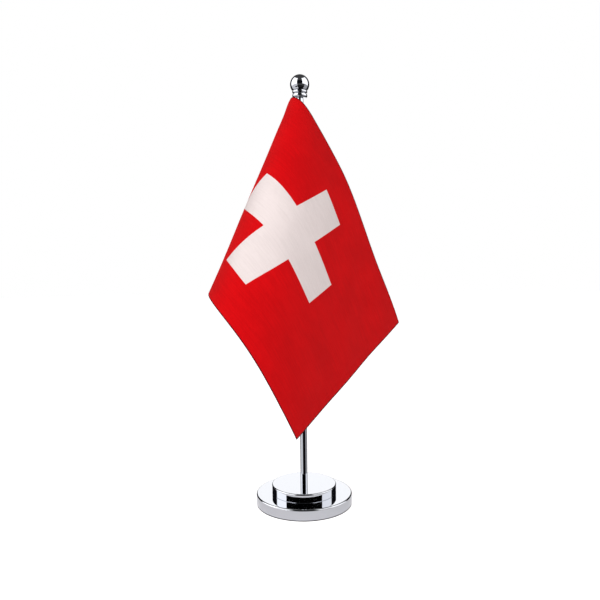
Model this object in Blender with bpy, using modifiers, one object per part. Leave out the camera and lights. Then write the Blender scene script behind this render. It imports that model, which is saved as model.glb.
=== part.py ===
"""Desk flag stand: a weighted two-step round base, a slim pole, a ball finial and a small cloth flag.

Metres, +Z up. The origin is the centre of the foot pad's underside, where the stand meets the desk,
and the pole runs up the Z axis. The flag hangs in front of the pole, which is towards -Y.
"""
import math

import bmesh
import bpy
from mathutils import Matrix, Vector

MM = 0.001

# ---- driving dimensions ----------------------------------------------------------------------------
TOUCH_GAP = 0.3 * MM          # kept between faces that touch on the real stand
RUNNING_GAP = 0.3 * MM        # kept round what turns, slides or passes through a hole

PAD_INSET = 1.2 * MM          # from the pad's edge to the cover's wall
PAD_THICKNESS = 1.5 * MM

BASE_RADIUS = 36.0 * MM       # outer disc: a pressed steel cover
BASE_SHEET = 1.2 * MM
WEIGHT_WEB = 1.1 * MM         # iron left between the screw's counterbore and the cover
BASE_RIM_LIFT = 0.5 * MM      # the rim stays clear of the desk, which only the pad touches
BASE_EDGE = 0.7 * MM

STEP_RADIUS = 24.2 * MM       # smaller turned disc on top of it
STEP_HEIGHT = 6.4 * MM
STEP_EDGE = 0.5 * MM
POLE_SOCKET_DEPTH = 1.7 * MM  # shallow seat for the pole's foot

THREAD_RADIUS = 1.5 * MM      # M3 in the base and in the finial
THREAD_DEPTH = 9.0 * MM       # how far the base screw reaches into the pole
SCREW_HEAD_RADIUS = 2.8 * MM
SCREW_HEAD_HEIGHT = 1.8 * MM
SOCKET_KEY = 2.0 * MM         # hexagon key, across flats
SPRING_WASHER_RADIUS = 3.1 * MM
SPRING_WASHER_HEIGHT = 0.6 * MM
SPRING_WASHER_SPLIT = 0.8 * MM
WASHER_RADIUS = 4.5 * MM
WASHER_HEIGHT = 0.5 * MM

POLE_RADIUS = 2.6 * MM
POLE_TOP = 301.1 * MM
POLE_CHAMFER = 0.3 * MM

COLLAR_RADIUS = 5.5 * MM      # loose ring under the finial
COLLAR_HEIGHT = 2.9 * MM
NECK_HEIGHT = 2.0 * MM        # ring that is one piece with the ball
NECK_RADIUS = 5.5 * MM
BALL_RADIUS = 7.05 * MM
STUD_IN_POLE = 6.5 * MM
STUD_IN_BALL = 4.4 * MM

CLOTH_THICKNESS = 0.5 * MM    # as a solid; the real cloth is thinner
FLAG_LENGTH = 210.0 * MM      # along the fly
FLAG_HEIGHT = 140.0 * MM      # along the pole
FLAG_DROP = 2.0 * MM          # below the pole's top
SLEEVE_CUT_BACK = 5.5 * MM    # the sleeve's top is turned in, below the flag's top corner
SLEEVE_LIFT = 1.0 * MM        # and its lower end is this much above the flag's lower corner
SEAM_THREAD_RADIUS = 0.2 * MM
SEAM_FROM_HOIST = 1.6 * MM

# The hanging cloth is a sheet that bends without stretching: every fold runs straight through one
# point, this far above the flag's top corner on the line of its sleeve.
FOLD_POINT_ABOVE = 32.0 * MM
LEAVES_POLE_TOWARDS = math.radians(212.0)      # heading in plan, from +X towards +Y
FOLDS = (                                      # where, how wide, how much it turns (degrees)
    (32.0, 9.0, -190.5),                       # one deep fold, at the left
)
# The thin cloth gives a little besides, so a few soft spots shift the sheet: how far along and down
# their middle is, how far they reach, and the shift in X, Y and Z (mm).
SOFT_SPOTS = (
    (5, -11, 9, (13.0, 0.5, -8.0)),            # the top corner flops down beside the pole
    (22, 2, 14, (2.0, 0.0, -1.0)),             # and draws the fold in below it
    (45, 10, 45, (3.0, -0.5, -2.0)),           # the top edge sinks where the pole lets it go
    (95, -20, 55, (9.5, -10.0, 3.0)),          # and swells out as it comes round to the front
    (200, -10, 30, (3.5, -3.5, 2.5)),          # the fly's top corner
    (205, 140, 60, (-0.5, -3.5, -1.5)),        # the fly's bottom corner, which weighs on the cloth
    (110, 100, 90, (6.5, -2.0, 3.0)),          # the middle of the lower edge
    (110, 165, 25, (1.5, -2.5, 6.0)),          # the lower edge is up at the outside of the fold
    (119, 117, 14, (-2.5, 0.0, -0.5)),         # a small slack place above it
)
SLEEVE_HOLDS = 14.0 * MM                       # soft spots fade out this near to the sleeve
HEADING_STEP = math.radians(0.25)

# How finely curved things are cut up.
CLOTH_COLUMNS = 40
CLOTH_ROWS = 12
CLOTH_CROWDING = 1.3          # columns lie closer together near the pole, where the cloth bends most
SEAM_PIECES = 8
ROUND_LARGE = 56
ROUND_SMALL = 28


# ---- materials -------------------------------------------------------------------------------------
def material(name, colour, roughness, metallic=0.0):
    mat = bpy.data.materials.new(name)
    mat.use_nodes = True
    shader = mat.node_tree.nodes["Principled BSDF"]
    shader.inputs["Base Color"].default_value = (*colour, 1.0)
    shader.inputs["Roughness"].default_value = roughness
    shader.inputs["Metallic"].default_value = metallic
    mat.diffuse_color = (*colour, 1.0)
    return mat


def make_materials():
    return {
        "chrome": material("chrome", (0.86, 0.87, 0.89), 0.05, 1.0),
        "iron": material("iron", (0.16, 0.16, 0.17), 0.6, 1.0),
        "zinc": material("zinc_plate", (0.62, 0.63, 0.64), 0.35, 1.0),
        "foam": material("foam", (0.03, 0.03, 0.03), 0.95),
        "cloth": material("cloth", (0.62, 0.02, 0.03), 0.75),
        "thread": material("thread", (0.55, 0.03, 0.04), 0.8),
    }


# ---- shapes ----------------------------------------------------------------------------------------
def clear_scene():
    for obj in list(bpy.data.objects):
        bpy.data.objects.remove(obj, do_unlink=True)


def add_object(name, data, collection, mat):
    obj = bpy.data.objects.new(name, data)
    data.materials.append(mat)
    collection.objects.link(obj)
    return obj


def arc(centre_r, centre_z, radius, start, end, steps):
    """Points of a round stretch of a profile, from one angle to another in degrees (0 is outwards)."""
    points = []
    for i in range(steps + 1):
        angle = math.radians(start + (end - start) * i / steps)
        points.append((centre_r + radius * math.cos(angle), centre_z + radius * math.sin(angle)))
    return points


def turned(name, profile, sides, collection, mat, closed=True):
    """A turned piece: the (radius, height) profile goes once round the Z axis."""
    mesh = bpy.data.meshes.new(name)
    vertices = [(radius, 0.0, height) for radius, height in profile]
    edges = [(i, i + 1) for i in range(len(vertices) - 1)]
    if closed:
        edges.append((len(vertices) - 1, 0))
    mesh.from_pydata(vertices, edges, [])
    obj = add_object(name, mesh, collection, mat)
    screw = obj.modifiers.new("turn", "SCREW")
    screw.axis = "Z"
    screw.angle = math.tau
    screw.steps = sides
    screw.render_steps = sides
    screw.use_merge_vertices = True
    screw.merge_threshold = 0.00001
    return obj


def ring(name, inner, outer, low, high, sides, collection, mat):
    """A plain flat ring with square edges."""
    profile = [(inner, high), (outer, high), (outer, low), (inner, low)]
    return turned(name, profile, sides, collection, mat)


def cut(obj, cutter):
    """Cut one piece with a hidden tool."""
    cutter.hide_render = True
    cutter.display_type = "WIRE"
    boolean = obj.modifiers.new("cut", "BOOLEAN")
    boolean.operation = "DIFFERENCE"
    boolean.solver = "EXACT"
    boolean.object = cutter


def box_cutter(name, size, centre, collection):
    mesh = bpy.data.meshes.new(name)
    bm = bmesh.new()
    bmesh.ops.create_cube(bm, size=1.0, matrix=Matrix.Diagonal((*size, 1.0)))
    bm.to_mesh(mesh)
    bm.free()
    obj = bpy.data.objects.new(name, mesh)
    obj.location = centre
    collection.objects.link(obj)
    return obj


def prism_cutter(name, sides, across_flats, depth, centre, collection):
    mesh = bpy.data.meshes.new(name)
    bm = bmesh.new()
    corner = across_flats / 2 / math.cos(math.pi / sides)
    bmesh.ops.create_cone(bm, cap_ends=True, segments=sides, radius1=corner, radius2=corner, depth=depth)
    bm.to_mesh(mesh)
    bm.free()
    obj = bpy.data.objects.new(name, mesh)
    obj.location = centre
    collection.objects.link(obj)
    return obj


# ---- where things are, worked out from the dimensions ----------------------------------------------
HOLE_RADIUS = THREAD_RADIUS + RUNNING_GAP
BASE_INSIDE = BASE_RADIUS - BASE_SHEET
PAD_RADIUS = BASE_INSIDE - PAD_INSET
PAD_TOP = PAD_THICKNESS
WEIGHT_LOW = PAD_TOP + TOUCH_GAP
HEAD_LOW = PAD_TOP + TOUCH_GAP
HEAD_HIGH = HEAD_LOW + SCREW_HEAD_HEIGHT
SPRING_LOW = HEAD_HIGH + TOUCH_GAP
SPRING_HIGH = SPRING_LOW + SPRING_WASHER_HEIGHT
WASHER_LOW = SPRING_HIGH + TOUCH_GAP
WASHER_HIGH = WASHER_LOW + WASHER_HEIGHT
COUNTERBORE_TOP = WASHER_HIGH + TOUCH_GAP
COUNTERBORE_RADIUS = WASHER_RADIUS + RUNNING_GAP
WEIGHT_HIGH = COUNTERBORE_TOP + WEIGHT_WEB
BASE_TOP = WEIGHT_HIGH + TOUCH_GAP + BASE_SHEET
STEP_LOW = BASE_TOP + TOUCH_GAP
STEP_TOP = BASE_TOP + STEP_HEIGHT
SOCKET_FLOOR = STEP_TOP - POLE_SOCKET_DEPTH
POLE_FOOT = SOCKET_FLOOR + TOUCH_GAP
COLLAR_LOW = POLE_TOP + TOUCH_GAP
COLLAR_HIGH = COLLAR_LOW + COLLAR_HEIGHT
NECK_LOW = COLLAR_HIGH + TOUCH_GAP
NECK_HIGH = NECK_LOW + NECK_HEIGHT
BALL_CENTRE = NECK_HIGH + math.sqrt(BALL_RADIUS ** 2 - NECK_RADIUS ** 2)
STUD_LOW = POLE_TOP - STUD_IN_POLE
STUD_HIGH = NECK_LOW + STUD_IN_BALL
FLAG_TOP = POLE_TOP - FLAG_DROP
SLEEVE_INNER = POLE_RADIUS + RUNNING_GAP
SLEEVE_OUTER = SLEEVE_INNER + CLOTH_THICKNESS
HOIST_X = -(SLEEVE_OUTER + TOUCH_GAP + CLOTH_THICKNESS / 2)


# ---- base ------------------------------------------------------------------------------------------
def make_base(collection, cutters, mats):
    turned("foot_pad", [(0, PAD_TOP), (PAD_RADIUS, PAD_TOP), (PAD_RADIUS, 0), (0, 0)],
           ROUND_LARGE, collection, mats["foam"], closed=False)

    weight_radius = BASE_INSIDE - TOUCH_GAP
    turned("base_weight", [
        (HOLE_RADIUS, WEIGHT_HIGH), (weight_radius, WEIGHT_HIGH), (weight_radius, WEIGHT_LOW),
        (COUNTERBORE_RADIUS, WEIGHT_LOW), (COUNTERBORE_RADIUS, COUNTERBORE_TOP),
        (HOLE_RADIUS, COUNTERBORE_TOP),
    ], ROUND_LARGE, collection, mats["iron"])

    base_edge = min(BASE_EDGE, BASE_SHEET * 0.8)
    shell = [(HOLE_RADIUS, BASE_TOP)]
    shell += arc(BASE_RADIUS - base_edge, BASE_TOP - base_edge, base_edge, 90, 0, 4)
    shell += arc(BASE_RADIUS - base_edge / 2, BASE_RIM_LIFT + base_edge / 2, base_edge / 2, 0, -90, 2)
    shell += [(BASE_INSIDE, BASE_RIM_LIFT), (BASE_INSIDE, BASE_TOP - BASE_SHEET),
              (HOLE_RADIUS, BASE_TOP - BASE_SHEET)]
    turned("base_disc", shell, ROUND_LARGE, collection, mats["chrome"])

    socket_radius = POLE_RADIUS + RUNNING_GAP
    step = [(socket_radius, STEP_TOP)]
    step += arc(STEP_RADIUS - STEP_EDGE, STEP_TOP - STEP_EDGE, STEP_EDGE, 90, 0, 4)
    step += arc(STEP_RADIUS - STEP_EDGE / 2, STEP_LOW + STEP_EDGE / 2, STEP_EDGE / 2, 0, -90, 2)
    step += [(HOLE_RADIUS, STEP_LOW), (HOLE_RADIUS, SOCKET_FLOOR), (socket_radius, SOCKET_FLOOR)]
    turned("step_disc", step, ROUND_LARGE, collection, mats["chrome"])

    screw_tip = POLE_FOOT + THREAD_DEPTH
    tip_chamfer = THREAD_RADIUS * 0.3
    screw = turned("base_screw", [
        (0, screw_tip), (THREAD_RADIUS - tip_chamfer, screw_tip), (THREAD_RADIUS, screw_tip - tip_chamfer),
        (THREAD_RADIUS, HEAD_HIGH), (SCREW_HEAD_RADIUS, HEAD_HIGH), (SCREW_HEAD_RADIUS, HEAD_LOW), (0, HEAD_LOW),
    ], ROUND_SMALL, collection, mats["zinc"], closed=False)
    key_depth = SCREW_HEAD_HEIGHT
    cut(screw, prism_cutter("key_tool", 6, SOCKET_KEY, key_depth, (0, 0, HEAD_LOW), cutters))

    spring = ring("spring_washer", HOLE_RADIUS, SPRING_WASHER_RADIUS, SPRING_LOW, SPRING_HIGH,
                  ROUND_SMALL, collection, mats["zinc"])
    split_size = (SPRING_WASHER_RADIUS * 2, SPRING_WASHER_SPLIT, SPRING_WASHER_HEIGHT * 4)
    split_centre = (SPRING_WASHER_RADIUS, 0, (SPRING_LOW + SPRING_HIGH) / 2)
    cut(spring, box_cutter("split_tool", split_size, split_centre, cutters))
    ring("plain_washer", HOLE_RADIUS, WASHER_RADIUS, WASHER_LOW, WASHER_HIGH,
         ROUND_SMALL, collection, mats["zinc"])


# ---- pole and finial -------------------------------------------------------------------------------
def make_pole(collection, mats):
    lower_hole = POLE_FOOT + THREAD_DEPTH + RUNNING_GAP
    upper_hole = STUD_LOW - RUNNING_GAP
    turned("pole", [
        (0, upper_hole), (HOLE_RADIUS, upper_hole), (HOLE_RADIUS, POLE_TOP),
        (POLE_RADIUS - POLE_CHAMFER, POLE_TOP), (POLE_RADIUS, POLE_TOP - POLE_CHAMFER),
        (POLE_RADIUS, POLE_FOOT + POLE_CHAMFER), (POLE_RADIUS - POLE_CHAMFER, POLE_FOOT),
        (HOLE_RADIUS, POLE_FOOT), (HOLE_RADIUS, lower_hole), (0, lower_hole),
    ], ROUND_SMALL, collection, mats["chrome"], closed=False)


def make_finial(collection, mats):
    """Everything above the pole. The collar and the ball have their origins on the pole's axis."""
    collar_round = COLLAR_HEIGHT / 2
    collar = [(HOLE_RADIUS, COLLAR_HIGH)]
    collar += arc(COLLAR_RADIUS - collar_round, COLLAR_LOW + collar_round, collar_round, 90, -90, 8)
    collar += [(HOLE_RADIUS, COLLAR_LOW)]
    turned("finial_collar", collar, ROUND_SMALL, collection, mats["chrome"])

    neck_round = NECK_HEIGHT / 2
    blind = STUD_HIGH + RUNNING_GAP
    meets_neck = -math.degrees(math.asin((BALL_CENTRE - NECK_HIGH) / BALL_RADIUS))
    ball = arc(0, BALL_CENTRE, BALL_RADIUS, 90, meets_neck, 16)
    ball += arc(NECK_RADIUS - neck_round, NECK_LOW + neck_round, neck_round, 75, -90, 7)
    ball += [(HOLE_RADIUS, NECK_LOW), (HOLE_RADIUS, blind), (0, blind)]
    turned("finial_ball", ball, ROUND_SMALL, collection, mats["chrome"], closed=False)

    turned("finial_stud", [(0, STUD_HIGH), (THREAD_RADIUS, STUD_HIGH), (THREAD_RADIUS, STUD_LOW), (0, STUD_LOW)],
           ROUND_SMALL, collection, mats["zinc"], closed=False)


# ---- flag ------------------------------------------------------------------------------------------
def fold_directions():
    """Unit directions of the cloth's straight rulings, as the angle from the sleeve grows.

    The direction walks over the unit sphere at unit speed. It starts straight down along the sleeve,
    heads the way the cloth leaves the pole, and each fold turns that heading by its own bell curve.
    """
    reach = math.atan2(FLAG_LENGTH, FOLD_POINT_ABOVE)
    count = math.ceil(reach / HEADING_STEP) + 1
    step = reach / (count - 1)
    direction = Vector((0.0, 0.0, -1.0))
    heading = Vector((math.cos(LEAVES_POLE_TOWARDS), math.sin(LEAVES_POLE_TOWARDS), 0.0))
    directions = []
    for i in range(count):
        directions.append(direction.copy())
        turn = 0.0
        for where, width, total in FOLDS:
            spread = math.radians(width)
            offset = (i * step - math.radians(where)) / spread
            turn += math.radians(total) * math.exp(-offset * offset / 2) / (spread * math.sqrt(math.tau)) * step
        heading = heading * math.cos(turn) + direction.cross(heading) * math.sin(turn)
        direction, heading = (direction * math.cos(step) + heading * math.sin(step),
                              heading * math.cos(step) - direction * math.sin(step))
    return step, directions


def cloth_point(along, down, step, directions):
    """The hung place of the cloth's point that is this far from the hoist and from the top edge."""
    radius = math.hypot(along, down + FOLD_POINT_ABOVE)
    place = min(math.atan2(along, down + FOLD_POINT_ABOVE) / step, len(directions) - 1.001)
    before = int(place)
    direction = directions[before].lerp(directions[before + 1], place - before).normalized()
    point = Vector((HOIST_X, 0.0, FLAG_TOP + FOLD_POINT_ABOVE)) + direction * radius
    free = 1.0 - math.exp(-(along / SLEEVE_HOLDS) ** 2)
    for spot_along, spot_down, spot_reach, shift in SOFT_SPOTS:
        away = math.hypot(along / MM - spot_along, down / MM - spot_down) / spot_reach
        point += Vector(shift) * MM * free * math.exp(-away * away / 2)
    return point


def make_flag(collection, mats):
    """Cloth, sleeve and seam. They turn round the pole together, so their origins are on its axis."""
    step, directions = fold_directions()
    mesh = bpy.data.meshes.new("flag_cloth")
    bm = bmesh.new()
    grid = []
    for i in range(CLOTH_COLUMNS + 1):
        along = FLAG_LENGTH * (i / CLOTH_COLUMNS) ** CLOTH_CROWDING
        grid.append([bm.verts.new(cloth_point(along, FLAG_HEIGHT * j / CLOTH_ROWS, step, directions))
                     for j in range(CLOTH_ROWS + 1)])
    for i in range(CLOTH_COLUMNS):
        for j in range(CLOTH_ROWS):
            bm.faces.new((grid[i][j], grid[i][j + 1], grid[i + 1][j + 1], grid[i + 1][j]))
    bm.to_mesh(mesh)
    bm.free()
    cloth = add_object("flag_cloth", mesh, collection, mats["cloth"])
    solid = cloth.modifiers.new("thickness", "SOLIDIFY")
    solid.thickness = CLOTH_THICKNESS
    solid.offset = 0.0

    ring("flag_sleeve", SLEEVE_INNER, SLEEVE_OUTER, FLAG_TOP - FLAG_HEIGHT + SLEEVE_LIFT,
         FLAG_TOP - SLEEVE_CUT_BACK, ROUND_SMALL, collection, mats["cloth"])

    curve = bpy.data.curves.new("seam_thread", "CURVE")
    curve.dimensions = "3D"
    curve.bevel_depth = SEAM_THREAD_RADIUS
    curve.bevel_resolution = 1
    curve.use_fill_caps = True
    lift = CLOTH_THICKNESS / 2 + TOUCH_GAP + SEAM_THREAD_RADIUS
    seam = curve.splines.new("POLY")
    seam.points.add(SEAM_PIECES)
    for i in range(SEAM_PIECES + 1):
        down = SLEEVE_CUT_BACK + (FLAG_HEIGHT - SLEEVE_CUT_BACK - SLEEVE_LIFT) * i / SEAM_PIECES
        here = cloth_point(SEAM_FROM_HOIST, down, step, directions)
        sideways = cloth_point(SEAM_FROM_HOIST * 2, down, step, directions) - here
        outwards = sideways.cross(Vector((0.0, 0.0, 1.0))).normalized()
        seam.points[i].co = (*(here - outwards * lift), 1.0)
    add_object("seam_thread", curve, collection, mats["thread"])


def shade_round(collection):
    """Smooth the round walls and keep the sharp edges."""
    for obj in collection.objects:
        if obj.type == "MESH":
            for modifier in obj.modifiers:
                if modifier.type == "SCREW":
                    modifier.use_smooth_shade = True


def main():
    clear_scene()
    parts = bpy.data.collections.new("desk_flag_stand")
    cutters = bpy.data.collections.new("tools")
    bpy.context.scene.collection.children.link(parts)
    bpy.context.scene.collection.children.link(cutters)
    mats = make_materials()
    make_base(parts, cutters, mats)
    make_pole(parts, mats)
    make_finial(parts, mats)
    make_flag(parts, mats)
    shade_round(parts)


main()
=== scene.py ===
# %% [markdown]
# # A desk flag stand
# A small cloth flag hangs on a slim chromed pole with a ball finial, over a weighted round base of
# two steps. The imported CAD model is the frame: it says where everything is and what moves. This
# script makes what the eye sees round that frame, one surface at a time, and then lights it the way
# a shop's product studio would.

import bmesh
import bpy
import numpy as np
from mathutils import Matrix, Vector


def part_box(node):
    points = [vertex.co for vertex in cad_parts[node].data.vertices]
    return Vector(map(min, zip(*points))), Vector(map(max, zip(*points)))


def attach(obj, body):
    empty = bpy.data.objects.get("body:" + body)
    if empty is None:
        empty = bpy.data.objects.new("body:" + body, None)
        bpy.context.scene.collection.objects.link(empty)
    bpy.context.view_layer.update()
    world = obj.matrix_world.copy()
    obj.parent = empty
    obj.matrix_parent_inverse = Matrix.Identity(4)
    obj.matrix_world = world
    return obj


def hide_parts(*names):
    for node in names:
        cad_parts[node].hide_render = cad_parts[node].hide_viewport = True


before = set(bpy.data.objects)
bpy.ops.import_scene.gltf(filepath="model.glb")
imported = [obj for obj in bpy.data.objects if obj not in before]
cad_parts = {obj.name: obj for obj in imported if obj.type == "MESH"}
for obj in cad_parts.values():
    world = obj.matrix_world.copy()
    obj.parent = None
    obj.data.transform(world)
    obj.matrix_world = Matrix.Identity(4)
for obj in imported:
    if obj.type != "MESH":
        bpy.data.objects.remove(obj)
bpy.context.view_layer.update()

MM = 0.001

# %% [markdown]
# ## Two small tools for materials
# A colour is easiest to pick in sRGB hex, as on a screen, but shaders add up light in linear
# numbers, so one function turns one into the other. A second function adds one shader node with its
# settings and whatever feeds it, so that a material reads as a list of what is on the surface.


# %% Colour and node helpers
def linear(hex_colour, alpha=1.0):
    """Each sRGB channel c becomes ((c + 0.055) / 1.055) to the power 2.4, or c / 12.92 where dark."""
    srgb = np.array([int(hex_colour[i:i + 2], 16) for i in (1, 3, 5)]) / 255
    curve = np.where(srgb <= 0.04045, srgb / 12.92, ((srgb + 0.055) / 1.055) ** 2.4)
    return (*curve.tolist(), alpha)


def add(tree, kind, settings=(), inputs=(), output=0):
    """Adds one node. An input is a plain value, or the socket of another node that feeds it."""
    node = tree.nodes.new("ShaderNode" + kind)
    for name, value in dict(settings).items():
        setattr(node, name, value)
    for name, value in dict(inputs).items():
        if isinstance(value, bpy.types.NodeSocket):
            tree.links.new(value, node.inputs[name])
        else:
            node.inputs[name].default_value = value
    return node.outputs[output] if len(node.outputs) else None


def new_material(name):
    material = bpy.data.materials.new(name)
    material.use_nodes = True
    material.node_tree.nodes.clear()
    return material, material.node_tree


def surface(tree, **inputs):
    """The Principled shader and the output. An underscore in an input's name stands for a space."""
    named = {name.replace("_", " "): value for name, value in inputs.items()}
    shader = add(tree, "BsdfPrincipled", inputs=named)
    add(tree, "OutputMaterial", inputs={"Surface": shader})


def repeats(size):
    """The scale of a pattern on Object coordinates whose features are this many millimetres wide."""
    return 1 / (size * MM)


print("middle grey in linear numbers:", [round(c, 3) for c in linear("#808080")])

# %% [markdown]
# ## One tool for shapes
# Every new piece is a grid of points, as if a net were pulled over it: rows one way, columns the
# other. Numpy works the whole net out at once, and the faces are only counting: each one joins a
# point to its neighbours. A net can be wrapped round in either direction. Where a row shrinks to a
# point, as at the top of a ball, the doubled points are merged, so the surface is closed there.

# %% From a net of points to a piece
MERGE_WITHIN = 0.0005 * MM
SHARP_FROM = np.radians(32)


def net_faces(rows, columns, wrap_rows, wrap_columns):
    """Point number = row * columns + column, and a face takes the next row and the next column."""
    row = np.arange(rows if wrap_rows else rows - 1)[:, None]
    column = np.arange(columns if wrap_columns else columns - 1)[None, :]
    next_row, next_column = (row + 1) % rows, (column + 1) % columns
    corners = (row * columns + column, row * columns + next_column,
               next_row * columns + next_column, next_row * columns + column)
    return np.stack(corners, axis=-1).reshape(-1, 4)


def net_piece(name, points, material, wrap_rows=False, wrap_columns=False, outwards=True, uv=None):
    """A piece from points in millimetres, in one net (rows, columns, 3) or in several (copies, ..., 3)."""
    nets = np.asarray(points, float)
    nets = nets.reshape((-1,) + nets.shape[-3:])
    copies, rows, columns = nets.shape[:3]
    faces = net_faces(rows, columns, wrap_rows, wrap_columns)
    faces = (faces[None] + np.arange(copies)[:, None, None] * rows * columns).reshape(-1, 4)
    mesh = bpy.data.meshes.new(name)
    mesh.from_pydata((nets.reshape(-1, 3) * MM).tolist(), [], faces.tolist())
    if uv is not None:
        layer = mesh.uv_layers.new(name="flat_cloth")
        layer.data.foreach_set("uv", uv.reshape(-1, 2)[faces.ravel()].astype(np.float32).ravel())
    work = bmesh.new()
    work.from_mesh(mesh)
    bmesh.ops.remove_doubles(work, verts=work.verts, dist=MERGE_WITHIN)
    if outwards:
        bmesh.ops.recalc_face_normals(work, faces=work.faces)
    work.to_mesh(mesh)
    work.free()
    mesh.shade_smooth()
    mesh.set_sharp_from_angle(angle=SHARP_FROM)
    mesh.materials.append(material)
    piece = bpy.data.objects.new(name, mesh)
    bpy.context.scene.collection.objects.link(piece)
    print(f"{name}: {len(mesh.vertices)} points, {len(mesh.polygons)} faces")
    return piece


# %% [markdown]
# ## Turned parts
# The base, its step, the pole and the finial are all turned on a lathe, so each is one outline
# carried round the pole's axis. Real turned edges are never quite sharp: a small radius catches the
# light as a thin line, which is most of what makes chrome look like chrome. The outline is given by
# its corners, each with its own radius. A support point just before and after each radius keeps the
# flat faces optically flat when the whole piece is shaded smooth, and truly sharp corners stay sharp.

# %% Outlines with rounded corners, carried round the axis
SUPPORT = 0.12
AROUND = 192


def rounded(corners, steps=7):
    """An outline of (out, up, radius) corners. The arc leaves each side at radius / tan(half the angle)."""
    place = np.array([corner[:2] for corner in corners], float)
    outline = []
    for i, (out, up, radius) in enumerate(corners):
        here = np.array([out, up])
        if radius == 0:
            outline.append(here[None])
            continue
        before, after = place[i - 1] - here, place[(i + 1) % len(place)] - here
        room = min(np.linalg.norm(before), np.linalg.norm(after))
        before, after = before / np.linalg.norm(before), after / np.linalg.norm(after)
        half = np.arccos(np.clip(before @ after, -1, 1)) / 2
        leave = radius / np.tan(half)
        middle = here + (before + after) / np.linalg.norm(before + after) * radius / np.sin(half)
        start, end = here + before * leave - middle, here + after * leave - middle
        turn = np.linspace(0, 1, steps)[:, None]
        span = np.pi - 2 * half
        arc = (np.sin((1 - turn) * span) * start + np.sin(turn * span) * end) / np.sin(span)
        support = min(SUPPORT, (room - leave) * 0.4)
        outline += [(here + before * (leave + support))[None], middle + arc,
                    (here + after * (leave + support))[None]]
    return np.concatenate(outline)


def carried_round(outline, around=AROUND):
    """x = out * cos(angle), y = out * sin(angle), z = up."""
    angle = np.linspace(0, 2 * np.pi, around, endpoint=False)
    out, up = outline[:, None, 0], outline[:, None, 1]
    return np.stack([out * np.cos(angle), out * np.sin(angle), up + 0 * angle], axis=-1)


def turned(name, outline, material, closed, around=AROUND):
    """A closed outline makes a ring, and one that starts and ends on the axis makes a solid knob."""
    return net_piece(name, carried_round(outline, around), material, wrap_rows=closed, wrap_columns=True)


def size_of(node):
    """A turned node's outer radius, lowest height and highest height, in millimetres."""
    low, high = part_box(node)
    return high.x / MM, low.z / MM, high.z / MM


pole_radius, pole_foot, pole_top = size_of("pole")
print(f"pole: radius {pole_radius:.2f} mm, from {pole_foot:.1f} to {pole_top:.1f} mm")

# %% [markdown]
# ## Chrome
# Bright chrome is steel that was polished, plated with nickel and then with a very thin layer of
# chromium. It reflects a little over half of the light, slightly blue, and almost like a mirror. What
# tells it from a perfect mirror is a faint unevenness of the plating a few millimetres wide, hairlines
# from the polishing wheel and the odd fingerprint, which only change how sharp the reflection is.

# %% Chrome plate
CHROME_GREY = "#C9CBD0"
PLATING_WAVE = 7.0
HAIRLINE = 0.25
HAIRLINE_LENGTH = 9.0
HANDLED_PATCH = 16.0


def chrome_plate(name, wave_height):
    """Polished chrome: the waves bend the reflection, the hairlines and patches only soften it."""
    material, tree = new_material(name)
    place = add(tree, "TexCoord", output="Object")
    wave = add(tree, "TexNoise", inputs={"Vector": place, "Scale": repeats(PLATING_WAVE), "Detail": 1.0})
    squeeze = (1, 1, HAIRLINE / HAIRLINE_LENGTH)
    stretched = add(tree, "Mapping", inputs={"Vector": place, "Scale": squeeze})
    hair = add(tree, "TexNoise", inputs={"Vector": stretched, "Scale": repeats(HAIRLINE), "Detail": 2.0})
    patch = add(tree, "TexNoise", inputs={"Vector": place, "Scale": repeats(HANDLED_PATCH), "Detail": 3.0})
    both = add(tree, "Math", {"operation": "MULTIPLY"}, {0: hair, 1: patch})
    gloss = add(tree, "MapRange", inputs={"Value": both, "From Min": 0.15, "From Max": 0.4,
                                          "To Min": 0.02, "To Max": 0.055})
    bent = add(tree, "Bump", inputs={"Height": wave, "Strength": 1.0, "Distance": wave_height * MM})
    surface(tree, Base_Color=linear(CHROME_GREY), Metallic=1.0, Roughness=gloss, Normal=bent)
    return material


chrome_pressed = chrome_plate("chrome_plate_on_pressed_steel", 0.004)
chrome_turned = chrome_plate("chrome_plate_on_turned_steel", 0.002)
print("made", chrome_pressed.name, "and", chrome_turned.name)

# %% [markdown]
# ## The base
# The outer disc is a cup pressed from steel sheet, open below, with a cast weight inside it. The step
# on top is a smaller solid disc, turned, with a shallow seat for the pole. On the real stand the
# screw pulls them together, so here they meet, where the CAD model keeps a hair's gap for its solids.

# %% Outer disc and step
BASE_SHEET = 1.2
PRESSED_RADIUS = 1.0
RIM_RADIUS = 0.35
STEP_EDGE_RADIUS = 0.8
STEP_FOOT_RADIUS = 0.25
SCREW_HOLE = 1.8

base_radius, base_low, base_top = size_of("base_disc")
step_radius, _, step_top = size_of("step_disc")
inside = base_radius - BASE_SHEET
ceiling = base_top - BASE_SHEET

outer_disc = turned("outer_disc", rounded([
    (SCREW_HOLE, base_top, 0), (base_radius, base_top, PRESSED_RADIUS),
    (base_radius, base_low, RIM_RADIUS), (inside, base_low, RIM_RADIUS),
    (inside, ceiling, RIM_RADIUS), (SCREW_HOLE, ceiling, 0),
]), chrome_pressed, closed=True)
step = turned("step_on_base", rounded([
    (pole_radius, step_top, 0), (step_radius, step_top, STEP_EDGE_RADIUS),
    (step_radius, base_top, STEP_FOOT_RADIUS), (SCREW_HOLE, base_top, 0),
    (SCREW_HOLE, pole_foot, 0), (pole_radius, pole_foot, 0),
]), chrome_turned, closed=True)
for piece, node in ((outer_disc, "base_disc"), (step, "step_disc")):
    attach(piece, "stand")
    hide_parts(node)

# %% [markdown]
# ## Pole, collar and ball
# The pole is drawn bright bar, tapped at both ends. The finial screws into the top: a ball with a
# ring under it, turned in one piece, over a loose collar. Unscrewed, it rises off the pole, so the
# stud that joins them gets a real thread: its radius follows a saw that climbs one pitch a turn.

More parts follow.
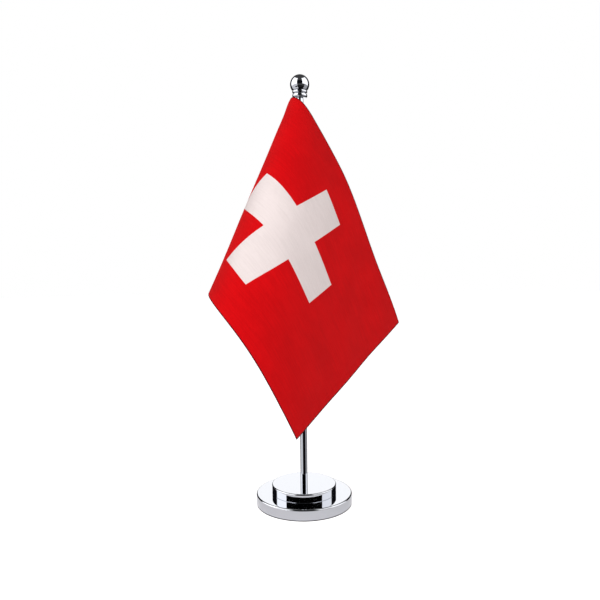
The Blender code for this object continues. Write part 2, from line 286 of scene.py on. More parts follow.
# %% Pole
POLE_CHAMFER = 0.3
TAPPED_RADIUS = 1.8
FOOT_HOLE_DEPTH = 9.3
PAST_THE_STUD = 0.3

stud_radius, stud_low, stud_high = size_of("finial_stud")
foot_hole, top_hole = pole_foot + FOOT_HOLE_DEPTH, stud_low - PAST_THE_STUD

pole = turned("pole_bar", rounded([
    (0, foot_hole, 0), (TAPPED_RADIUS, foot_hole, 0), (TAPPED_RADIUS, pole_foot, 0),
    (pole_radius, pole_foot, POLE_CHAMFER), (pole_radius, pole_top, POLE_CHAMFER),
    (TAPPED_RADIUS, pole_top, 0), (TAPPED_RADIUS, top_hole, 0), (0, top_hole, 0),
]), chrome_turned, closed=False, around=96)

# %% Collar
ALMOST_TOUCHING = 0.03
HALF_A_FLAT = 0.15

collar_radius, _, collar_high = size_of("finial_collar")
collar_low = pole_top + ALMOST_TOUCHING
collar_round = (collar_high - collar_low) / 2 - HALF_A_FLAT
collar = turned("loose_collar", rounded([
    (TAPPED_RADIUS, collar_high, 0), (collar_radius, collar_high, collar_round),
    (collar_radius, collar_low, collar_round), (TAPPED_RADIUS, collar_low, 0),
], steps=14), chrome_turned, closed=True, around=128)

# %% Ball and its ring
NECK_HEIGHT = 2.0
NECK_ROUND = 0.95

ball_radius, ball_low, ball_high = size_of("finial_ball")
ball_centre = ball_high - ball_radius
ball_hole = stud_high + PAST_THE_STUD
neck_radius = collar_radius
neck_top = ball_low + NECK_HEIGHT
neck_low = collar_high + ALMOST_TOUCHING
meets_neck = np.arcsin((neck_top - ball_centre) / ball_radius)
fall = np.linspace(np.pi / 2, meets_neck, 60)
ball_outline = np.stack([ball_radius * np.cos(fall), ball_centre + ball_radius * np.sin(fall)], axis=-1)
neck_outline = rounded([
    (ball_outline[-1, 0], neck_top, 0),
    (neck_radius, neck_top, NECK_ROUND), (neck_radius, neck_low, NECK_ROUND),
    (TAPPED_RADIUS, neck_low, 0), (TAPPED_RADIUS, ball_hole, 0), (0, ball_hole, 0),
], steps=12)
ball = turned("ball_finial", np.concatenate([ball_outline, neck_outline[1:]]), chrome_turned,
              closed=False, around=128)

# %% The threaded stud
PITCH = 0.5
THREAD_DEPTH = 0.29
ROWS_A_TURN = 10
THREAD_COLUMNS = 40


def threaded(radius, low, high):
    """radius = outer radius - depth * |2 saw - 1|. The saw is the rest of up / pitch - angle / turn."""
    up = np.linspace(low, high, int((high - low) / PITCH * ROWS_A_TURN))[:, None]
    angle = np.linspace(0, 2 * np.pi, THREAD_COLUMNS, endpoint=False)[None, :]
    saw = (up / PITCH - angle / (2 * np.pi)) % 1
    out = radius - THREAD_DEPTH * np.abs(2 * saw - 1)
    out[0] = out[-1] = radius - THREAD_DEPTH
    wall = np.stack([out * np.cos(angle), out * np.sin(angle), up + 0 * angle], axis=-1)
    low_end, high_end = wall[:1] * (0, 0, 1), wall[-1:] * (0, 0, 1)
    return np.concatenate([low_end, wall, high_end])


def zinc_plate():
    """Zinc plate, passivated: pale blue grey, softer than chrome, with small cloudy crystals."""
    material, tree = new_material("zinc_plate_passivated")
    place = add(tree, "TexCoord", output="Object")
    cloud = add(tree, "TexNoise", inputs={"Vector": place, "Scale": repeats(1.2), "Detail": 4.0})
    tint = add(tree, "ValToRGB", inputs={"Fac": cloud})
    ramp = tint.node.color_ramp
    ramp.elements[0].color, ramp.elements[1].color = linear("#B4B9BF"), linear("#CDD1D2")
    rough = add(tree, "MapRange", inputs={"Value": cloud, "To Min": 0.22, "To Max": 0.42})
    surface(tree, Base_Color=tint, Metallic=1.0, Roughness=rough)
    return material


zinc = zinc_plate()
stud = net_piece("threaded_stud", threaded(stud_radius, stud_low, stud_high), zinc, wrap_columns=True)

for piece, node, body, slot in (
        (pole, "pole", "stand", "chrome_pole"), (collar, "finial_collar", "collar", "chrome_pole"),
        (ball, "finial_ball", "finial", "chrome_pole"), (stud, "finial_stud", "finial", "zinc")):
    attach(piece, body)
    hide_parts(node)

# %% [markdown]
# ## How the cloth hangs
# Cloth bends easily but hardly stretches, and a sheet that only bends is made of straight lines. In
# a flag held down one side they fan out from a point above the pole's top, like the lines of a cone
# that isn't round. So one curve says it all: the direction of the fan's line as it sweeps from the
# pole to the fly. It starts straight down the pole and heads off to the left and the front. One deep
# fold then turns it back across the front to the right. Where thin cloth gives a little, at its free
# corners and edges, soft spots shift the sheet by a few millimetres.

# %% The fan of straight lines
FLAG_LENGTH, FLAG_HEIGHT = 210.0, 140.0
HOIST = np.array([-3.95, 0.0])   # x and y of the line where the sheet leaves the sleeve
FLAG_TOP = pole_top - 2.0
FAN_POINT_ABOVE = 32.0
LEAVES_POLE_TOWARDS = np.radians(212.0)
FOLDS = np.radians([
    (32.0, 9.0, -190.5),         # the one deep fold, at the left: where, how wide, how much it turns
])
SOFT_SPOTS = np.array([          # along, down, reach, then the shift in x, y and z
    (5, -11, 9, 13.0, 0.5, -8.0),        # the top corner, drawn over towards the pole
    (22, 2, 14, 2.0, 0.0, -1.0),         # the top edge just after it
    (45, 10, 45, 3.0, -0.5, -2.0),
    (95, -20, 55, 9.5, -10.0, 3.0),      # the top edge where it runs down to the right
    (200, -10, 30, 3.5, -3.5, 2.5),      # the fly's top corner
    (205, 140, 60, -0.5, -3.5, -1.5),    # and its foot corner
    (110, 100, 90, 6.5, -2.0, 3.0),      # the middle of the panel
    (110, 165, 25, 1.5, -2.5, 6.0),      # the left corner, where the fold reaches the foot edge
    (119, 117, 14, -2.5, 0.0, -0.5),     # and the cloth beside it
])
SLEEVE_HOLDS = 14.0
FAN_STEPS = 400


def fan_of_lines():
    """The unit direction walks over a sphere at unit speed. A fold turns its heading in a bell curve."""
    sweep = np.linspace(0, np.arctan2(FLAG_LENGTH, FAN_POINT_ABOVE), FAN_STEPS)
    step = sweep[1]
    where, width, total = FOLDS.T[:, :, None]
    bells = total / (width * np.sqrt(2 * np.pi)) * np.exp(-((sweep - where) / width) ** 2 / 2)
    turns = bells.sum(axis=0) * step
    line = np.array([0.0, 0.0, -1.0])
    heading = np.array([np.cos(LEAVES_POLE_TOWARDS), np.sin(LEAVES_POLE_TOWARDS), 0.0])
    lines = []
    for turn in turns:
        lines.append(line)
        heading = heading * np.cos(turn) + np.cross(line, heading) * np.sin(turn)
        line, heading = (line * np.cos(step) + heading * np.sin(step),
                         heading * np.cos(step) - line * np.sin(step))
    return sweep, np.array(lines)


SWEEP, LINES = fan_of_lines()


def hung(along, down):
    """Fan point + distance * line's direction + soft spots that fade by exp(-(r / reach)^2 / 2)."""
    distance = np.hypot(along, down + FAN_POINT_ABOVE)
    angle = np.arctan2(along, down + FAN_POINT_ABOVE)
    line = np.stack([np.interp(angle, SWEEP, LINES[:, axis]) for axis in range(3)], axis=-1)
    line /= np.linalg.norm(line, axis=-1, keepdims=True)
    place = np.array([*HOIST, FLAG_TOP + FAN_POINT_ABOVE]) + distance[..., None] * line
    free = 1 - np.exp(-(along / SLEEVE_HOLDS) ** 2)
    apart = np.hypot(along[..., None] - SOFT_SPOTS[:, 0], down[..., None] - SOFT_SPOTS[:, 1])
    weight = np.exp(-(apart / SOFT_SPOTS[:, 2]) ** 2 / 2) * free[..., None]
    return place + weight @ SOFT_SPOTS[:, 3:]


fly_corner = hung(np.array(FLAG_LENGTH), np.array(0.0))
print("the fly's top corner hangs at", fly_corner.round(1), "mm")

# %% [markdown]
# ## From a clean sheet to cloth
# A perfect cone looks like paper. Real cloth keeps faint ripples that run with the fan's lines and
# grow towards the free edges, and the seam's thread gathers it into tiny puckers beside the sleeve.
# Both are pushed along the sheet's own normal by less than a millimetre, so the outline stays.

# %% Ripples and puckers
RIPPLES = np.array([             # height, waves across the sweep, how much they slant, phase
    (0.42, 5.5, 0.006, 0.4),
    (0.24, 9.0, -0.010, 2.1),
    (0.12, 17.0, 0.016, 4.0),
])
PUCKER_HEIGHT, PUCKER_SPACING, PUCKER_REACH = 0.22, 5.2, 5.0


def normals_of(net):
    """The cross product of the net's two directions, made unit length."""
    across = np.cross(np.gradient(net, axis=0), np.gradient(net, axis=1))
    return across / np.linalg.norm(across, axis=-1, keepdims=True)


def cloth_lift(along, down):
    """Sum of height * sin(waves * sweep angle + slant * distance), growing with distance, + puckers."""
    distance = np.hypot(along, down + FAN_POINT_ABOVE)
    sweep = np.arctan2(along, down + FAN_POINT_ABOVE)
    grows = np.clip(distance / 200, 0, 1.2) * (1 - np.exp(-(along / 30) ** 2))
    height, waves, slant, phase = RIPPLES.T
    angle = sweep[..., None] * waves * 2 + distance[..., None] * slant * 2 + phase
    ripple = (height * np.sin(angle)).sum(axis=-1) * grows
    pucker = np.sin(2 * np.pi * down / PUCKER_SPACING + np.sin(down / 9)) * np.exp(-along / PUCKER_REACH)
    return ripple + PUCKER_HEIGHT * pucker * np.clip(along / 1.5, 0, 1)


# %% The sheet's net
COLUMNS_ALONG, ROWS_DOWN = 236, 150
CROWDED_AT_POLE = 1.15

columns = FLAG_LENGTH * np.linspace(0, 1, COLUMNS_ALONG) ** CROWDED_AT_POLE
along, down = np.meshgrid(columns, np.linspace(0, FLAG_HEIGHT, ROWS_DOWN), indexing="ij")
sheet = hung(along, down)
sheet += normals_of(sheet) * cloth_lift(along, down)[..., None]
flat_place = np.stack([along / FLAG_LENGTH, down / FLAG_HEIGHT], axis=-1)
print("the sheet spans", (sheet.reshape(-1, 3).max(0) - sheet.reshape(-1, 3).min(0)).round(1), "mm")

# %% [markdown]
# ## Printed polyester
# The cloth is woven from polyester and dyed by heat, so the colour goes right through and the surface
# stays cloth: a faint sheen at grazing angles, and a fine grid of threads, with painted shade in the low
# places between them. The real threads lie 0.25 mm apart, too fine to see when the whole stand is in
# view, so they are drawn over twice as coarse.
# The print is a plain cross, centred, with arms a sixth longer than they are wide. The flag was cut
# with a hot knife, and a thin darker line along its top, foot and fly edges is painted shade at the edge.

# %% Cloth material
# the last of these colours, the dark edge red, is painted shade along the cut edges
RED, DEEP_RED, EDGE_SHADE_RED = "#D20A10", "#C6080E", "#5E0810"
CROSS_WHITE, CROSS_GREY = "#E8DBD9", "#E2D5D3"
ARM_REACH, ARM_HALF_WIDTH = 44.5, 13.3
THREAD_SPACING = 0.55
DYE_PATCH, CREASE_SIZE = 28, 9
PRINT_SOFTNESS = 0.12
# how wide the painted edge shade is, in millimetres
EDGE_SHADE_WIDTH = 0.8


def maths(tree, operation, first, second=0.0):
    return add(tree, "Math", {"operation": operation}, {0: first, 1: second})


def fades(tree, value, start, end):
    """1 below start, 0 above end, smooth between."""
    return add(tree, "MapRange", {"interpolation_type": "SMOOTHSTEP"},
               {"Value": value, "From Min": start, "From Max": end, "To Min": 1.0, "To Max": 0.0})


def blend_colours(tree, share, first, second):
    return add(tree, "Mix", {"data_type": "RGBA"}, {"Factor": share, 6: first, 7: second}, output=2)


def woven_height(tree, across, downwards):
    """A plain weave: sin(across) * sin(down) puts a thread on top at every other crossing."""
    turns = np.pi / THREAD_SPACING
    warp = maths(tree, "SINE", maths(tree, "MULTIPLY", across, turns))
    weft = maths(tree, "SINE", maths(tree, "MULTIPLY", downwards, turns))
    return maths(tree, "MULTIPLY", warp, weft)


def printed_polyester(name, with_cross):
    material, tree = new_material(name)
    flat = add(tree, "UVMap", {"uv_map": "flat_cloth"})
    parts = add(tree, "SeparateXYZ", inputs={"Vector": flat}).node.outputs
    across = maths(tree, "MULTIPLY", parts["X"], FLAG_LENGTH)
    downwards = maths(tree, "MULTIPLY", parts["Y"], FLAG_HEIGHT)
    in_mm = add(tree, "CombineXYZ", inputs={"X": across, "Y": downwards})

    slub = add(tree, "TexNoise", {"noise_dimensions": "2D"},
               {"Vector": add(tree, "Mapping", inputs={"Vector": in_mm, "Scale": (0.06, 1.1, 1)}),
                "Scale": 1.0, "Detail": 3.0})
    dye = add(tree, "TexNoise", {"noise_dimensions": "2D"},
              {"Vector": in_mm, "Scale": 1 / DYE_PATCH, "Detail": 4.0})
    uneven = maths(tree, "MULTIPLY", maths(tree, "ADD", slub, dye), 0.5)
    share = add(tree, "MapRange", inputs={"Value": uneven, "From Min": 0.38, "From Max": 0.62})
    colour = blend_colours(tree, share, linear(RED), linear(DEEP_RED))

    if with_cross:
        out = maths(tree, "ABSOLUTE", maths(tree, "SUBTRACT", across, FLAG_LENGTH / 2))
        up = maths(tree, "ABSOLUTE", maths(tree, "SUBTRACT", downwards, FLAG_HEIGHT / 2))
        longer, shorter = maths(tree, "MAXIMUM", out, up), maths(tree, "MINIMUM", out, up)
        in_reach = fades(tree, longer, ARM_REACH - PRINT_SOFTNESS, ARM_REACH + PRINT_SOFTNESS)
        in_width = fades(tree, shorter, ARM_HALF_WIDTH - PRINT_SOFTNESS, ARM_HALF_WIDTH + PRINT_SOFTNESS)
        cross = maths(tree, "MULTIPLY", in_reach, in_width)
        white = blend_colours(tree, share, linear(CROSS_WHITE), linear(CROSS_GREY))
        colour = blend_colours(tree, cross, colour, white)

    from_fly = maths(tree, "SUBTRACT", FLAG_LENGTH, across)
    from_foot = maths(tree, "SUBTRACT", FLAG_HEIGHT, downwards)
    nearest = maths(tree, "MINIMUM", maths(tree, "MINIMUM", downwards, from_foot), from_fly)
    # a darker line painted along the top, foot and fly edges: painted shade at the cut edges
    edge_shade = fades(tree, nearest, EDGE_SHADE_WIDTH * 0.6, EDGE_SHADE_WIDTH)
    colour = blend_colours(tree, edge_shade, colour, linear(EDGE_SHADE_RED))

    weave = woven_height(tree, across, downwards)
    # the colour is multiplied down by up to 7 % where the weave lies low: painted shade between the threads
    weave_shade = add(tree, "MapRange", inputs={"Value": weave, "From Min": -1.0, "From Max": 1.0,
                                                "To Min": 0.93, "To Max": 1.0})
    colour = add(tree, "Mix", {"data_type": "RGBA", "blend_type": "MULTIPLY"},
                 {"Factor": 1.0, 6: colour, 7: weave_shade}, output=2)
    creases = add(tree, "TexNoise", {"noise_dimensions": "2D"},
                  {"Vector": in_mm, "Scale": 1 / CREASE_SIZE, "Detail": 2.0})
    soft = add(tree, "Bump", inputs={"Height": creases, "Strength": 1.0, "Distance": 0.25 * MM})
    bump = add(tree, "Bump", inputs={"Height": weave, "Strength": 0.5, "Distance": 0.05 * MM,
                                     "Normal": soft})
    rough = add(tree, "MapRange", inputs={"Value": weave, "From Min": -1.0, "From Max": 1.0,
                                          "To Min": 0.62, "To Max": 0.48})
    surface(tree, Base_Color=colour, Roughness=rough, Normal=bump, Sheen_Weight=0.04,
            Sheen_Roughness=0.5, Sheen_Tint=linear("#FFD2CC"), Specular_IOR_Level=0.03)
    return material


flag_print = printed_polyester("polyester_woven_heat_printed", True)
sleeve_cloth = printed_polyester("polyester_woven_plain_dyed", False)
print("one thread every", THREAD_SPACING, "mm, cross arms", ARM_REACH * 2, "mm end to end")

# %% The flag
CLOTH_THICKNESS = 0.22


def thicken(piece):
    """Half of the cloth's thickness goes to each side of the net."""
    solid = piece.modifiers.new("thickness", "SOLIDIFY")
    solid.thickness = CLOTH_THICKNESS * MM
    solid.offset = 0.0


flag = net_piece("printed_flag", sheet, flag_print, outwards=False, uv=flat_place)
thicken(flag)

# %% [markdown]
# ## The sleeve
# The hoist edge is turned round the pole and sewn to itself, which makes a pocket that the pole slides
# into. Pulled by the flag, the pocket isn't round: it draws out to a ridge where its two layers meet
# at the seam, and it creases a little. So its radius depends on the angle and the height.

# %% Sleeve
_, sleeve_low, sleeve_top = size_of("flag_sleeve")
SLEEVE_SLACK = 0.45
RIDGE_HEIGHT, RIDGE_WIDTH = 0.95, 0.42
RIDGE_AT = np.pi + 0.06
WRAP_RADIUS = 3.1


def sleeve_net(rows=140, columns=96):
    """radius = pole + slack + ridge * exp(-(turn from the ridge / width)^1.4) + creases that cross it."""
    angle = np.linspace(0, 2 * np.pi, columns, endpoint=False)[None, :]
    up = np.linspace(sleeve_low, sleeve_top, rows)[:, None]
    turn = np.abs((angle - RIDGE_AT + np.pi) % (2 * np.pi) - np.pi)
    ridge = RIDGE_HEIGHT * np.exp(-(turn / RIDGE_WIDTH) ** 1.4)
    crease = 0.10 * np.sin(up / 3.1 + 2.2 * np.cos(angle + 0.4) + np.sin(up / 11))
    crease += 0.05 * np.sin(up / 1.27 - 3 * angle)
    radius = pole_radius + SLEEVE_SLACK + ridge + crease * np.clip(turn, 0, 1)
    net = np.stack([radius * np.cos(angle), radius * np.sin(angle), up + 0 * angle], axis=-1)
    flat = np.stack([np.broadcast_to(angle * WRAP_RADIUS / FLAG_LENGTH + 0.5, radius.shape),
                     np.broadcast_to((FLAG_TOP - up) / FLAG_HEIGHT, radius.shape)], axis=-1)
    return net, flat


sleeve_points, sleeve_flat = sleeve_net()
sleeve = net_piece("pole_sleeve", sleeve_points, sleeve_cloth, wrap_columns=True, uv=sleeve_flat)
thicken(sleeve)

# %% [markdown]
# ## Stitches
# A lockstitch seam holds the sleeve. Seen close, it is a row of short slack loops on both faces, each
# going into the cloth at its ends. Each stitch is a small spindle along the seam: a radius that
# swells and shrinks again, lifted off the cloth in the middle.

# %% Seam
SEAM_FROM_HOIST = 1.6
FROM_SLEEVE_TOP, FROM_FOOT_EDGE = 1.0, 4.0
STITCH_PITCH, STITCH_LENGTH = 2.5, 2.15
THREAD_RADIUS = 0.17
STITCH_LIFT = 0.10


def thread_material():
    """Spun polyester thread: matt, with a twist that shows as slanting ridges, with painted shade in their
    grooves.
    """
    material, tree = new_material("polyester_sewing_thread")
    place = add(tree, "TexCoord", output="Object")
    slanted = add(tree, "Mapping", inputs={"Vector": place, "Rotation": (0.6, 0.5, 0.4)})
    twist = add(tree, "TexWave", inputs={"Vector": slanted, "Scale": repeats(0.5), "Distortion": 1.0})
    # darker red where the twist lies low: painted shade in the grooves between its ridges
    colour = blend_colours(tree, twist, linear("#B00A12"), linear("#D41018"))
    bump = add(tree, "Bump", inputs={"Height": twist, "Strength": 0.6, "Distance": 0.04 * MM})
    surface(tree, Base_Color=colour, Roughness=0.7, Normal=bump, Sheen_Weight=0.2)
    return material


def stitches(side):
    """Seam point + lift * sin(pi t) along the normal + radius * sin(pi t)^0.5 round the thread."""
    first = FLAG_TOP - sleeve_top + FROM_SLEEVE_TOP
    starts = np.arange(first, FLAG_HEIGHT - FROM_FOOT_EDGE, STITCH_PITCH)[:, None]
    t = np.linspace(0, 1, 9)[None, :]
    down = starts + STITCH_LENGTH * t
    near, far = (hung(np.full_like(down, SEAM_FROM_HOIST + d), down) for d in (-0.2, 0.2))
    middle = (near + far) / 2
    sideways = (far - near) / np.linalg.norm(far - near, axis=-1, keepdims=True)
    normal = np.cross(sideways, [0.0, 0.0, 1.0])
    swell = np.sin(np.pi * t)[..., None]
    middle = middle + normal * side * (CLOTH_THICKNESS / 2 + STITCH_LIFT * swell)
    angle = np.linspace(0, 2 * np.pi, 8, endpoint=False)[None, None, :, None]
    round_thread = np.cos(angle) * normal[:, :, None] + np.sin(angle) * sideways[:, :, None]
    thick = THREAD_RADIUS * np.sqrt(np.clip(swell, 0, 1))[:, :, None]
    return middle[:, :, None] + round_thread * thick


seam_nets = np.concatenate([stitches(1), stitches(-1)])
seam = net_piece("seam_stitches", seam_nets, thread_material(), wrap_columns=True)
print("stitches:", len(seam_nets))

for piece in (flag, sleeve, seam):
    piece.visible_glossy = False        # the metal shows the studio, without the cloth's red
for piece, node, slot in ((flag, "flag_cloth", "cloth"), (sleeve, "flag_sleeve", "cloth"),
                          (seam, "seam_thread", "thread")):
    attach(piece, "flag")
    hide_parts(node)

# %% [markdown]
# ## What stays out of sight
# The pieces inside and under the base keep their CAD shapes and get the finishes they have on a real
# stand: a pad of black closed-cell foam, a raw grey iron casting, and zinc-plated fixings.

# %% Foam, casting and fixings
FOAM_CELL = 0.7
CASTING_GRAIN = 1.1


def closed_cell_foam():
    """EVA foam skived from a block: cut cells leave tiny pits that scatter what little light it returns."""
    material, tree = new_material("eva_foam_closed_cell")
    place = add(tree, "TexCoord", output="Object")
    cells = add(tree, "TexVoronoi", inputs={"Vector": place, "Scale": repeats(FOAM_CELL)})
    grain = add(tree, "TexNoise", inputs={"Vector": place, "Scale": repeats(4.0), "Detail": 4.0})
    colour = blend_colours(tree, grain, linear("#141416"), linear("#26262A"))
    bump = add(tree, "Bump", inputs={"Height": cells, "Strength": 0.8, "Distance": 0.12 * MM})
    surface(tree, Base_Color=colour, Roughness=0.92, Normal=bump, Specular_IOR_Level=0.25)
    return material


def raw_casting():
    """Grey iron as it leaves the sand: dull, grainy, with a few warm spots of rust."""
    material, tree = new_material("grey_iron_sand_cast")
    place = add(tree, "TexCoord", output="Object")
    sand = add(tree, "TexNoise", inputs={"Vector": place, "Scale": repeats(CASTING_GRAIN), "Detail": 6.0})
    spots = add(tree, "TexNoise", inputs={"Vector": place, "Scale": repeats(9.0), "Detail": 3.0})
    rust = add(tree, "MapRange", inputs={"Value": spots, "From Min": 0.58, "From Max": 0.72})
    colour = blend_colours(tree, rust, linear("#56575A"), linear("#6B4A38"))
    bump = add(tree, "Bump", inputs={"Height": sand, "Strength": 0.9, "Distance": 0.2 * MM})
    metal = add(tree, "MapRange", inputs={"Value": rust, "To Min": 0.85, "To Max": 0.1})
    surface(tree, Base_Color=colour, Metallic=metal, Roughness=0.62, Normal=bump)
    return material


finishes = {"foot_pad": closed_cell_foam(), "base_weight": raw_casting(), "base_screw": zinc,
            "spring_washer": zinc, "plain_washer": zinc}
for node, finish in finishes.items():
    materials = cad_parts[node].data.materials
    materials.clear()
    materials.append(finish)
print("finished", len(finishes), "CAD nodes")

# %% [markdown]
# ## The camera
# A slightly wide lens from a little under half a metre away, just above the middle of the stand and
# tipped down by three degrees, so the base shows its tops as ellipses. The turn and the roll are what
# a hand-set tripod leaves. The camera's matrix holds its right, up and backward directions as columns.

# %% Camera
CAMERA_PLACE = (0.0, -440.0, 176.2)
TIP_DOWN, TURN, ROLL = 3.0, -0.2, -0.65
LENS = 35.46


def aimed(place, tip, turn, roll):
    """Forward = (sin turn cos tip, cos turn cos tip, -sin tip), then right and up are rolled about it."""
    tip, turn, roll = np.radians([tip, turn, roll])
    forward = np.array([np.sin(turn) * np.cos(tip), np.cos(turn) * np.cos(tip), -np.sin(tip)])
    level = np.array([np.cos(turn), -np.sin(turn), 0.0])
    above = np.cross(level, forward)
    right = level * np.cos(roll) + above * np.sin(roll)
    up = above * np.cos(roll) - level * np.sin(roll)
    matrix = np.eye(4)
    matrix[:3] = np.stack([right, up, -forward, np.array(place) * MM], axis=-1)
    return Matrix(matrix.tolist())


lens = bpy.data.cameras.new("studio_camera")
lens.lens = LENS
lens.clip_start = 0.02
lens.dof.use_dof = False
camera = bpy.data.objects.new("studio_camera", lens)
camera.matrix_world = aimed(CAMERA_PLACE, TIP_DOWN, TURN, ROLL)
bpy.context.scene.collection.objects.link(camera)
bpy.context.scene.camera = camera
bpy.context.scene.view_settings.view_transform = "Standard"
print("camera at", CAMERA_PLACE, "mm")

# %% [markdown]
# ## The studio
# Chrome has no colour of its own to speak of: it shows the room. So the room is built as a world
# whose brightness depends on the direction. Two tall soft boxes stand left and right of the camera,
# with dark between them, above them and behind the stand, and the table is light below the boxes.
# Cloth is easier to light apart from the metal: for the light that it scatters, the world is one broad
# soft lamp, brightest from the camera's side. What the camera sees directly is plain white.

# %% World
SOFT_BOXES = (   # left, right, low, high (degrees; 0 is towards the camera, + to its right), colour, light
    (-180, 180, 34, 95, "#FFFFFF", 0.075),       # the room above, nearly dark
    (-114, -33, -3, 58, "#FFFFFF", 2.4),         # soft box at the left
    (33, 114, -3, 58, "#FFFFFF", 1.9),           # soft box at the right
    (-29, 62, -60, -3, "#FFFFFF", 0.075),        # the table in front, nearly dark
    (-116, -29, -95, -3, "#F2F2F6", 1.0),        # the light table below the left box
    (62, 116, -95, -3, "#F2F2F6", 0.55),         # and below the right one
)
BOX_EDGE = 3
DARK_ROOM = linear("#141519")
CLOTH_LIGHT_ROUND, CLOTH_LIGHT_FRONT = 0.06, 0.42


def studio_world():
    world = bpy.data.worlds.new("product_studio")
    bpy.context.scene.world = world
    world.use_nodes = True
    tree = world.node_tree
    tree.nodes.clear()
    towards = add(tree, "TexCoord", output="Generated")
    x, y, z = add(tree, "SeparateXYZ", inputs={"Vector": towards}).node.outputs
    back = maths(tree, "MULTIPLY", y, -1.0)
    bearing = maths(tree, "DEGREES", maths(tree, "ARCTAN2", x, back))
    height = maths(tree, "DEGREES", maths(tree, "ARCSINE", z))
    room = DARK_ROOM
    for left, right, low, high, hex_colour, strength in SOFT_BOXES:
        inside = maths(tree, "MULTIPLY", fades(tree, bearing, right - BOX_EDGE, right + BOX_EDGE),
                       fades(tree, height, high - BOX_EDGE, high + BOX_EDGE))
        after_left = maths(tree, "SUBTRACT", 1.0, fades(tree, bearing, left - BOX_EDGE, left + BOX_EDGE))
        above_low = maths(tree, "SUBTRACT", 1.0, fades(tree, height, low - BOX_EDGE, low + BOX_EDGE))
        inside = maths(tree, "MULTIPLY", inside, maths(tree, "MULTIPLY", after_left, above_low))
        light = [channel * strength for channel in linear(hex_colour)[:3]] + [1.0]
        room = blend_colours(tree, inside, room, light)
    on_cloth = add(tree, "LightPath", output="Is Diffuse Ray")
    frontal = add(tree, "MapRange", inputs={"Value": back, "From Min": 0.0, "From Max": 1.0,
                                            "To Min": CLOTH_LIGHT_ROUND, "To Max": CLOTH_LIGHT_FRONT})
    room = blend_colours(tree, on_cloth, room, frontal)
    seen = add(tree, "LightPath", output="Is Camera Ray")
    colour = blend_colours(tree, seen, room, (1.0, 1.0, 1.0, 1.0))
    background = add(tree, "Background", inputs={"Color": colour})
    add(tree, "OutputWorld", inputs={"Surface": background})


studio_world()
print("parts of the room with a light of their own:", len(SOFT_BOXES))

# %% [markdown]
# ## Table and cards
# The floor is a plain white table, bright enough to melt into the background, with a dark round under
# the base for the shadow of its rim. The metal sees other things than the camera does. White paper
# lies round the stand, and beyond its edge the floor in front is dark. A low curved black card puts a
# black line into the metal, and a white sweep behind makes the flat tops of the base bright. These are
# left out of everything but reflections, and reflections leave out the table and the shadow.

# %% Nets for the stage
def stage_material(name, hex_colour, glow):
    material, tree = new_material(name)
    surface(tree, Base_Color=linear(hex_colour), Roughness=0.9, Specular_IOR_Level=0.0,
            Emission_Color=(1.0, 1.0, 1.0, 1.0), Emission_Strength=glow)
    return material


def flat_round(radius, up):
    """A round sheet: distance from the middle down the rows, angle along the columns."""
    out = np.linspace(0, radius, 5)[:, None]
    angle = np.linspace(0, 2 * np.pi, 96, endpoint=False)[None, :]
    return np.stack([out * np.cos(angle), out * np.sin(angle), 0 * out + 0 * angle + up], axis=-1)


def flat_sector(near, far, left, right, up):
    """Distance from the middle down the rows, bearing from the camera's side along the columns."""
    out = np.linspace(near, far, 5)[:, None]
    bearing = np.radians(np.linspace(left, right, 60))[None, :]
    return np.stack([out * np.sin(bearing), -out * np.cos(bearing), 0 * out + 0 * bearing + up], axis=-1)


def upright_arc(radius, low, high, reach):
    """Two rows of points, at the lowest and the highest height, and the bearing along the columns."""
    bearing = np.radians(np.linspace(-reach, reach, 60))[None, :]
    up = np.array([[low], [high]])
    return np.stack([radius * np.sin(bearing) + 0 * up, -radius * np.cos(bearing) + 0 * up,
                     up + 0 * bearing], axis=-1)


def upright_wall(back, half_width, low, high):
    """Four corners: left and right along the columns, low and high down the rows."""
    return [[(side * half_width, back, height) for side in (-1, 1)] for height in (low, high)]


# %% Stage
TABLE = (4000.0, -0.1)                       # radius and height
PAPER = (62.0, -0.05)
SHADOW = (35.9, -0.02)
DARK_FLOOR_AHEAD = (62.0, 380.0, -29.0, 62.0, -0.06)    # from, to, left, right (degrees) and height
BLACK_CARD = (300.0, 85.0, 170.0, 64.0)      # radius, low, high and reach to each side (degrees)
WHITE_SWEEP = (450.0, 160.0, 95.0, 300.0)    # distance behind, half width, low and high

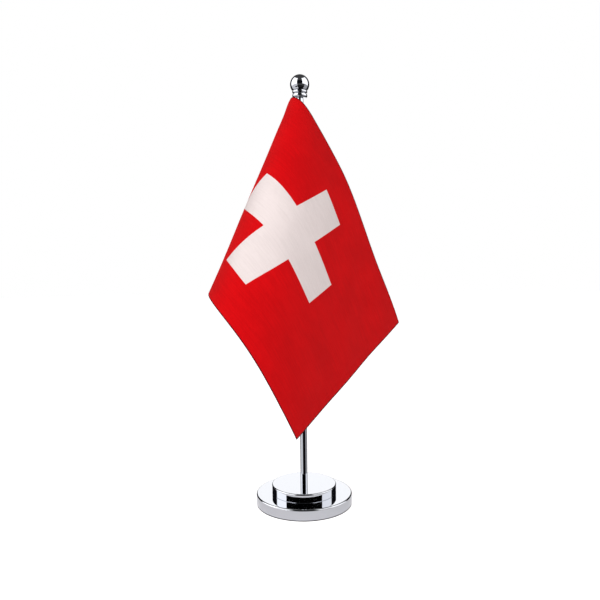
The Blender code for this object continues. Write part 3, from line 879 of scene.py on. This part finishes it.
table, paper, shadow = (
    net_piece(name, flat_round(*place), stage_material(finish, colour, glow), wrap_columns=True,
              outwards=False)
    for name, place, finish, colour, glow in (
        ("table", TABLE, "white_table", "#F4F4F4", 0.80),
        ("paper_under_stand", PAPER, "white_paper", "#C8C8CC", 0.55),
        ("contact_shadow", SHADOW, "contact_shadow", "#1A1A1C", 0.0)))
dark_floor_ahead, card, sweep = (
    net_piece(name, net, stage_material(name, colour, glow), outwards=False)
    for name, net, colour, glow in (
        # a dark stretch of floor in front of the stand, seen only in reflections
        ("dark_floor_ahead", flat_sector(*DARK_FLOOR_AHEAD), "#141418", 0.0),
        ("black_card", upright_arc(*BLACK_CARD), "#050506", 0.0),
        ("white_sweep", upright_wall(*WHITE_SWEEP), "#000000", 1.48)))
table.visible_glossy = shadow.visible_glossy = False
for prop in (paper, dark_floor_ahead, card, sweep):
    for ray in ("camera", "diffuse", "shadow", "transmission"):
        setattr(prop, "visible_" + ray, False)

# %% [markdown]
# ## A key light for the cloth
# The world's light on the cloth is broad and comes from straight ahead. A soft light above and to the
# left of the camera gives the fold its bright side and lets the panel turn darker towards the fly. The
# chrome doesn't need another box, so its reflections leave this light out.

# %% Key light
KEY_PLACE, KEY_AIM = (-190.0, -480.0, 440.0), (0.0, -50.0, 190.0)
KEY_SIZE, KEY_WATTS = 220.0, 1.5


def key_light():
    light = bpy.data.lights.new("key_light", "AREA")
    light.shape = "SQUARE"
    light.size = KEY_SIZE * MM
    light.energy = KEY_WATTS
    lamp = bpy.data.objects.new("key_light", light)
    backwards = np.array(KEY_PLACE) - np.array(KEY_AIM)
    backwards /= np.linalg.norm(backwards)
    right = np.cross([0.0, 0.0, 1.0], backwards)
    right /= np.linalg.norm(right)
    matrix = np.eye(4)
    matrix[:3] = np.stack([right, np.cross(backwards, right), backwards, np.array(KEY_PLACE) * MM], axis=-1)
    lamp.matrix_world = Matrix(matrix.tolist())
    lamp.visible_glossy = False
    bpy.context.scene.collection.objects.link(lamp)


key_light()
print("key light:", KEY_WATTS, "watts at", KEY_PLACE, "mm")
